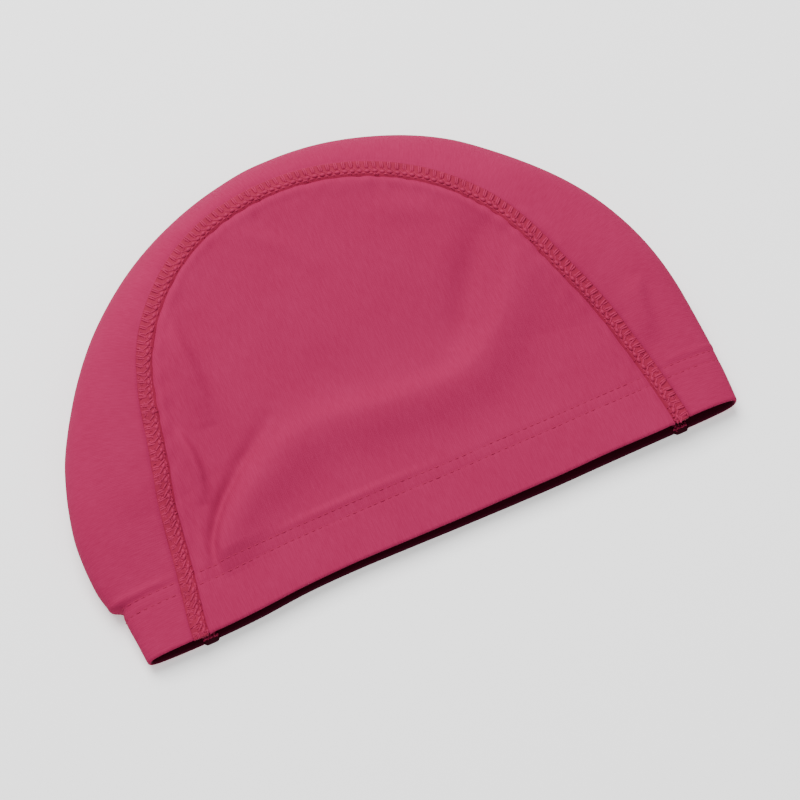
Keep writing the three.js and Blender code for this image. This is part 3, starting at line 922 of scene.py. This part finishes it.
def stitch_row(line, normal, seed):
    """Stitches along a line on the cloth: equal short threads whose ends dip into it."""
    draw = np.random.default_rng(seed)
    steps = np.linalg.norm(np.diff(line, axis=0), axis=1)
    distance = np.concatenate([[0], np.cumsum(steps)])
    count = int((distance[-1] - 2 * STITCH_SKIP) / STITCH_PITCH)
    middle = (np.arange(count) + 0.5) * STITCH_PITCH + (distance[-1] - count * STITCH_PITCH) / 2
    middle = (middle + draw.normal(0, 0.1, count))[:, None]
    t = np.linspace(0, 1, 7)[None, :]
    along = middle + (t - 0.5) * STITCH_LENGTH
    place = np.stack([np.interp(along, distance, line[:, k]) for k in range(3)], -1)
    away = unit(np.stack([np.interp(along, distance, normal[:, k]) for k in range(3)], -1))
    height = STITCH_RISE * np.sin(np.pi * t) ** 0.6 - STITCH_SINK + draw.normal(0, 0.05, (count, 1))
    return tubes(place + away * height[..., None], STITCH_RADIUS, away, 5)


def hem_stitches(lines, finish):
    """The two rows of stitches round the hem: over both panels and both ends of the band."""
    bundles = [stitch_row(line, normal, STITCH_SEED + k) for k, (line, normal) in enumerate(lines)]
    return thread_object("hem_stitching", bundles, finish)


class Wire:
    """A socket of a finish's nodes. Arithmetic on it adds Math nodes."""

    def __init__(self, finish, socket):
        self.finish = finish
        self.socket = socket

    def other(self, output):
        """A wire from another output of the same node."""
        return Wire(self.finish, self.socket.node.outputs[output])

    def math(self, operation, *values):
        """A Math node on this wire and others."""
        return self.finish.node("ShaderNodeMath", {"operation": operation}, dict(enumerate(values)))

    def __add__(self, other):
        return self.math("ADD", self, other)

    __radd__ = __add__

    def __sub__(self, other):
        return self.math("SUBTRACT", self, other)

    def __rsub__(self, other):
        return self.math("SUBTRACT", other, self)

    def __mul__(self, other):
        return self.math("MULTIPLY", self, other)

    __rmul__ = __mul__

    def __abs__(self):
        return self.math("ABSOLUTE", self)

    def sin(self):
        return self.math("SINE", self)

    def clamp(self):
        return self.math("MAXIMUM", self.math("MINIMUM", self, 1.0), 0.0)


class Finish:
    """A material under construction, with one method that adds any node."""

    def __init__(self, name):
        self.material = bpy.data.materials.new(name)
        self.material.use_nodes = True
        self.tree = self.material.node_tree
        self.shader = self.tree.nodes["Principled BSDF"]

    def node(self, kind, settings, sockets, output=0):
        """Adds a node, makes its settings and fills or links its sockets."""
        added = self.tree.nodes.new(kind)
        for key, value in settings.items():
            setattr(added, key, value)
        for key, value in sockets.items():
            self.fill(added.inputs[key], value)
        return Wire(self, added.outputs[output])

    def fill(self, socket, value):
        """Links a wire to a socket, or sets its value."""
        if isinstance(value, Wire):
            self.tree.links.new(value.socket, socket)
        else:
            socket.default_value = value

    def mix(self, factor, a, b):
        """Colour a where the factor is 0 and b where it is 1."""
        colours = {0: factor, 6: a, 7: b}
        return self.node("ShaderNodeMix", {"data_type": "RGBA"}, colours, 2)

    def noise(self, where, scale, detail):
        """Noise from 0 to 1 at a place."""
        sockets = {"Vector": where, "Scale": scale, "Detail": detail}
        return self.node("ShaderNodeTexNoise", {}, sockets)

    def surface(self, **sockets):
        """Fills the shader's own sockets."""
        for key, value in sockets.items():
            self.fill(self.shader.inputs[key.replace("_", " ")], value)
        return self.material


def srgb(red, green, blue):
    """Linear colour of an 8-bit screen colour."""
    share = np.array([red, green, blue]) / 255
    linear = np.where(share <= 0.04045, share / 12.92, ((share + 0.055) / 1.055) ** 2.4)
    return (*linear.tolist(), 1.0)


CLOTH_COLOUR = srgb(155, 40, 80)
CLOTH_SHADE = srgb(139, 29, 66)
# Dark painted shade for the cloth's inner faces, the under panel's hem rim and the seam beds, where they lie
# in shadow
PAINTED_SHADE_COLOUR = srgb(60, 8, 26)
THREAD_COLOUR = srgb(166, 38, 78)
BED_COLOUR = srgb(152, 30, 64)
SHEEN_COLOUR = srgb(230, 90, 160)
FLOOR_DULL = (0.93, 0.93, 0.93, 1)
FLOOR_BRIGHT = (0.96, 0.96, 0.96, 1)
WHITE = (1, 1, 1, 1)

# Dark parts of a thread, as a share of its colour
THREAD_DEPTH = 0.62
BED_DEPTH = 0.6

# The knit in millimetres, the noise over the cloth map in waves for each millimetre, and
# that over the threads in waves for each metre
WALE_PITCH = 0.7
COURSE_PITCH = 0.55
YARN_SCALE = 1.6
CLOUD_SCALE = 0.045
STREAK_SCALE = (1.6, 0.22, 1.0)
FIBRE_SCALE = 2600.0
PATCH_SCALE = 160.0

# Shares of the colour's change that come from each pattern of the cloth
YARN_TONE = 0.35
CLOUD_TONE = 0.5
LOOP_TONE = 0.3
STREAK_TONE = 0.9
LOOP_MEAN = 0.4


def cloth_finish():
    """Fine stretch knit: columns of loops along the cloth map, with uneven yarn, soft
    clouding and streaks of the dye, and a dark painted shade on its inner faces and rims."""
    finish = Finish("stretch_knit")
    cloth = finish.node("ShaderNodeUVMap", {"uv_map": "cloth"}, {})
    over = finish.node("ShaderNodeSeparateXYZ", {}, {0: cloth})
    down = over.other(1)
    wale = abs((over * (np.pi / WALE_PITCH)).sin())
    course = ((down * (2 * np.pi / COURSE_PITCH)) + wale * 2.0).sin()
    loops = wale * 0.7 + course * 0.15
    yarn = finish.noise(cloth, YARN_SCALE, 2.0)
    cloud = finish.noise(cloth, CLOUD_SCALE, 2.0)
    drawn = finish.node("ShaderNodeMapping", {}, {"Vector": cloth, "Scale": STREAK_SCALE})
    streak = finish.noise(drawn, 1.0, 2.0)
    tone = (yarn - 0.5) * YARN_TONE + (cloud - 0.5) * CLOUD_TONE
    tone = tone + (loops - LOOP_MEAN) * LOOP_TONE + (streak - 0.5) * STREAK_TONE
    tone = (tone + 0.5).clamp()
    inside = finish.node("ShaderNodeAttribute", {"attribute_name": "inside"}, {}, 2)
    # Where `inside` is 1 the colour is the dark painted shade
    colour = finish.mix(inside, finish.mix(tone, CLOTH_SHADE, CLOTH_COLOUR), PAINTED_SHADE_COLOUR)
    relief = loops + yarn * 0.4 + streak * 0.6
    bump = finish.node("ShaderNodeBump", {}, {"Strength": 0.13, "Distance": 0.0002, "Height": relief})
    return finish.surface(
        Base_Color=colour,
        Roughness=0.72 + yarn * 0.15,
        Normal=bump,
        Specular_IOR_Level=0.03,
        Sheen_Weight=0.01,
        Sheen_Roughness=0.5,
        Sheen_Tint=SHEEN_COLOUR,
    )


def thread_finish(name, colour, depth):
    """Sewing thread: fine noise for its fibres and coarser noise for worn patches, both on
    the object's own place, with a dark painted shade where `inside` is 1."""
    finish = Finish(name)
    place = finish.node("ShaderNodeTexCoord", {}, {}, 3)
    fibre = finish.noise(place, FIBRE_SCALE, 3.0)
    patch = finish.noise(place, PATCH_SCALE, 2.0)
    tone = ((fibre - 0.5) * 0.9 + (patch - 0.5) * 0.8 + 0.5).clamp()
    dark = (*[value * depth for value in colour[:3]], 1.0)
    inside = finish.node("ShaderNodeAttribute", {"attribute_name": "inside"}, {}, 2)
    # Where `inside` is 1 the colour is the dark painted shade
    shown = finish.mix(inside, finish.mix(tone, dark, colour), PAINTED_SHADE_COLOUR)
    bump = finish.node("ShaderNodeBump", {}, {"Strength": 0.35, "Distance": 0.0001, "Height": fibre})
    return finish.surface(
        Base_Color=shown,
        Roughness=0.65 + fibre * 0.2,
        Normal=bump,
        Specular_IOR_Level=0.12,
        Sheen_Weight=0.02,
        Sheen_Tint=SHEEN_COLOUR,
    )


def floor_finish():
    """Plain pale floor with a trace of unevenness."""
    finish = Finish("pale_floor")
    place = finish.node("ShaderNodeTexCoord", {}, {}, 3)
    tone = finish.noise(place, 6.0, 2.0)
    return finish.surface(
        Base_Color=finish.mix(tone, FLOOR_DULL, FLOOR_BRIGHT),
        Roughness=0.9 + tone * 0.05,
        Emission_Color=WHITE,
        Emission_Strength=FLOOR_LIGHT,
    )


def dress():
    """Makes every piece and hides the part's solid that each stands for."""
    cloth = cloth_finish()
    thread = thread_finish("flatlock_thread", THREAD_COLOUR, THREAD_DEPTH)
    bed = thread_finish("seam_bed_cloth", BED_COLOUR, BED_DEPTH)
    upper, upper_lines = upper_panel(cloth)
    under, under_lines = under_panel(cloth)
    band, band_lines = centre_band(cloth)
    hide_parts("side_panel_upper")
    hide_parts("side_panel_under")
    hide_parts("centre_band")
    for side, name in ((UPPER, "upper"), (UNDER, "under")):
        seam = SeamLine(side)
        lift, longest = (UPPER_LIFT, UPPER_FRAY) if side == UPPER else (UNDER_LIFT, UNDER_FRAY)
        base = seam_bed(f"seam_bed_{name}", seam, side, bed)
        threads = ladder_threads(seam, lift, LADDER_SEED + side)
        threads += frayed_ends(seam, lift, longest, FRAY_SEED + side)
        stitching = thread_object(f"seam_threads_{name}", threads, thread)
        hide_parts(f"seam_{name}")
    stitches = hem_stitches(upper_lines + under_lines + band_lines, thread)
    return upper, under, band


def view_way(bearing, height):
    """Unit vector from the target towards a viewer at a bearing and height angle."""
    a, e = np.radians(bearing), np.radians(height)
    return Vector((np.sin(a) * np.cos(e), -np.cos(a) * np.cos(e), np.sin(e)))


def aim(thing, place, target):
    """Puts a light or camera at a place, looking at the target."""
    thing.location = place
    thing.rotation_euler = (target - place).to_track_quat("-Z", "Y").to_euler()
    bpy.context.scene.collection.objects.link(thing)


def add_camera():
    """The camera, from in front of the hem and high above the floor."""
    data = bpy.data.cameras.new("camera")
    data.sensor_width = SENSOR
    data.lens = FOCAL_PIXELS / PICTURE_PIXELS * SENSOR
    data.clip_start = CLIP_START
    camera = bpy.data.objects.new("camera", data)
    aim(camera, VIEW_TARGET + view_way(VIEW_BEARING, VIEW_HEIGHT) * VIEW_DISTANCE, VIEW_TARGET)
    bpy.context.scene.camera = camera


def add_light(name, bearing, height, distance, size, power):
    """A square lamp that looks at the middle of the part."""
    data = bpy.data.lights.new(name, "AREA")
    data.size = size
    data.energy = power
    light = bpy.data.objects.new(name, data)
    aim(light, view_way(bearing, height) * distance, Vector((0, 0, 0)))


def add_stage():
    """Floor, world and lights: a large soft source beyond the crown and a weak fill."""
    half = FLOOR_HALF
    mesh = bpy.data.meshes.new("floor")
    corners = [(-half, -half, 0), (half, -half, 0), (half, half, 0), (-half, half, 0)]
    mesh.from_pydata(corners, [], [(0, 1, 2, 3)])
    mesh.materials.append(floor_finish())
    floor = bpy.data.objects.new("floor", mesh)
    bpy.context.scene.collection.objects.link(floor)
    world = bpy.data.worlds.new("studio")
    bpy.context.scene.world = world
    world.use_nodes = True
    background = world.node_tree.nodes["Background"]
    background.inputs["Color"].default_value = WHITE
    background.inputs["Strength"].default_value = WORLD_LIGHT
    for light in LIGHTS:
        add_light(*light)


def main():
    """Dresses the part and sets the camera and the stage."""
    upper, under, band = dress()
    add_camera()
    add_stage()


main()
